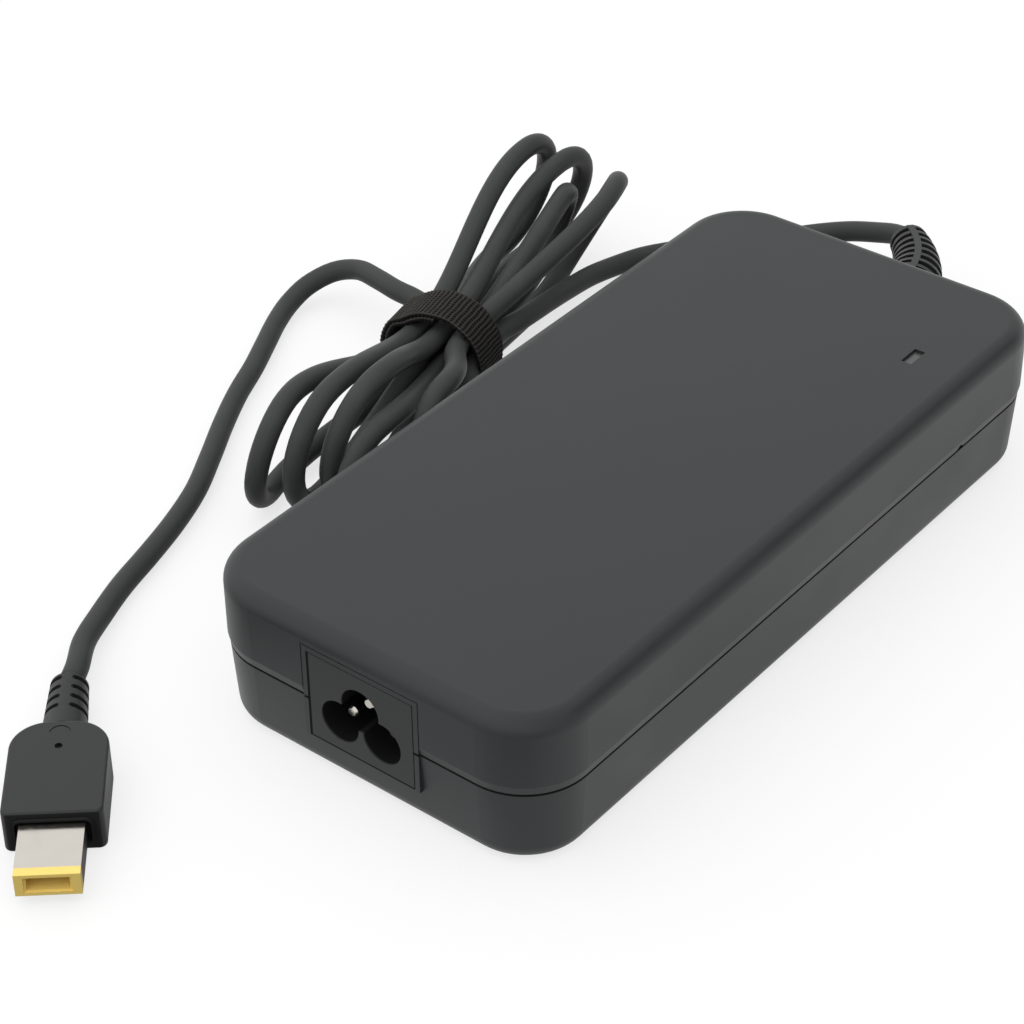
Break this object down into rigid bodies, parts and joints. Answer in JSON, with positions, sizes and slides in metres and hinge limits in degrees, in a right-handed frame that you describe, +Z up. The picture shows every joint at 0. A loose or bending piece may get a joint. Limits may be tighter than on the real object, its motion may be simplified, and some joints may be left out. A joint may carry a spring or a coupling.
{
  "type": "laptop power adapter",
  "caption": "Closed brick-shaped mains adapter with a three-pin inlet, a tied output cord and a rectangular laptop connector.",
  "frame": {"origin": "under the middle of the brick, on the surface that it stands on", "axes": "+Z up; -Y towards the mains inlet, +Y towards the end where the output cord leaves; +X towards the side with the lamp window"},
  "size_m": [0.1519, 0.2488, 0.031],
  "materials": {
    "case_plastic": "charcoal moulded plastic with a very fine smooth grain",
    "inlet_plastic": "dark smooth moulded plastic",
    "contact_metal": "bright plated metal",
    "clear_plastic": "clear moulded plastic, slightly milky",
    "soft_rubber": "soft satin rubber",
    "cord_rubber": "smooth satin cord sheath, dark grey to black",
    "strap_fabric": "black woven hook-and-loop tape",
    "connector_plastic": "satin overmoulding",
    "yellow_plastic": "yellow moulded plastic",
    "gold_contact": "gold-plated contact",
    "board_laminate": "green lacquered board",
    "insulation_film": "thin translucent film",
    "sheet_aluminium": "plain rolled sheet",
    "ceramic": "glazed ceramic tube",
    "blue_coating": "dipped epoxy coating",
    "green_coating": "dipped dark coating",
    "ferrite": "ground ferrite",
    "copper_wire": "enamelled copper wire under tape",
    "chip_plastic": "black moulded package",
    "capacitor_sleeve": "shrunk plastic sleeve",
    "screw_steel": "zinc-plated steel",
    "bobbin_plastic": "moulded bobbin plastic",
    "wire_sleeve": "insulated wire"
  },
  "bodies": {
    "root": {"top_cover": "case_plastic", "bottom_cover": "case_plastic", "inlet_housing": "inlet_plastic", "line_pin": "contact_metal", "neutral_pin": "contact_metal", "earth_pin": "contact_metal", "light_pipe": "clear_plastic", "output_strain_relief": "soft_rubber", "output_lead": "cord_rubber", "cord_hank": "cord_rubber", "connector_lead": "cord_rubber", "cable_strap": "strap_fabric", "connector_strain_relief": "soft_rubber", "connector_housing": "connector_plastic", "connector_barrel": "contact_metal", "connector_insert": "yellow_plastic", "connector_pin": "gold_contact", "circuit_board": "board_laminate", "insulation_sheet": "insulation_film", "upper_shield": "sheet_aluminium", "fuse": "ceramic", "varistor": "blue_coating", "thermistor": "green_coating", "x_capacitor": "yellow_plastic", "y_capacitors": "blue_coating", "choke_core": "ferrite", "choke_windings": "copper_wire", "bridge_rectifier": "chip_plastic", "boost_choke": "copper_wire", "bulk_capacitor": "capacitor_sleeve", "primary_heat_sink": "sheet_aluminium", "power_transistors": "chip_plastic", "primary_screws": "screw_steel", "transformer_core": "ferrite", "transformer_bobbin": "bobbin_plastic", "transformer_winding": "copper_wire", "secondary_heat_sink": "sheet_aluminium", "output_rectifiers": "chip_plastic", "secondary_screws": "screw_steel", "output_capacitors": "capacitor_sleeve", "output_choke": "copper_wire", "optocoupler": "chip_plastic", "control_chips": "chip_plastic", "status_lamp": "clear_plastic", "output_wires": "wire_sleeve"}
  },
  "joints": []
}
